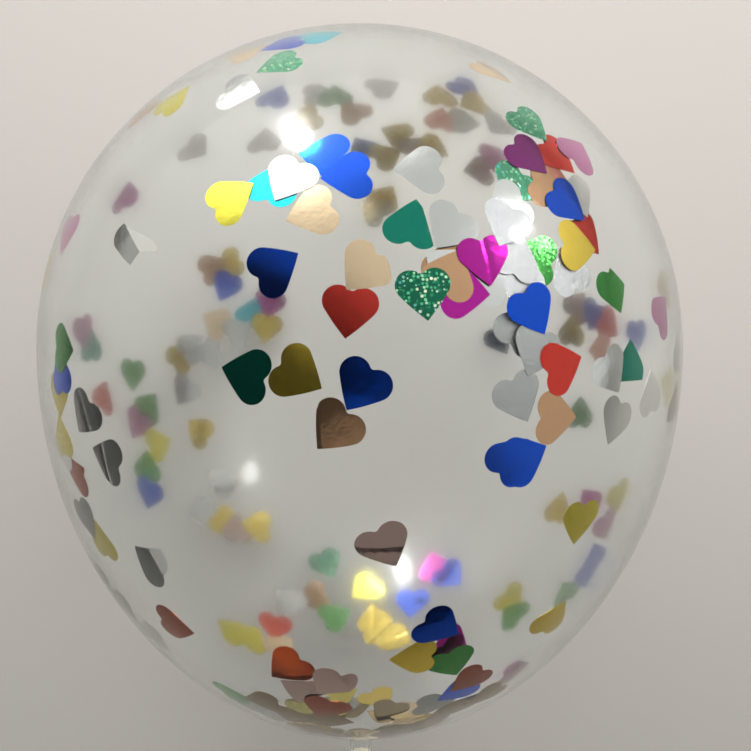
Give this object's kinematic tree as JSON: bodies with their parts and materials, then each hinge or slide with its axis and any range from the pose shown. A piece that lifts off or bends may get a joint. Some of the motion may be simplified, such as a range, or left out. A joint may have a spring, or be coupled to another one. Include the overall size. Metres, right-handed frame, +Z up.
{
  "type": "confetti balloon",
  "caption": "Clear inflated latex balloon filled with foil heart confetti, tied off and lying on its side.",
  "frame": {"origin": "middle of the small flat spot that the balloon lies on", "axes": "+Z up; +Y from the neck and knot towards the crown; +X across"},
  "size_m": [0.285, 0.3595, 0.2851],
  "materials": {
    "clear_latex": "clear stretched latex, glossy, faintly cloudy and cream towards its edges"
  },
  "bodies": {
    "root": {"balloon": "clear_latex"}
  },
  "joints": []
}
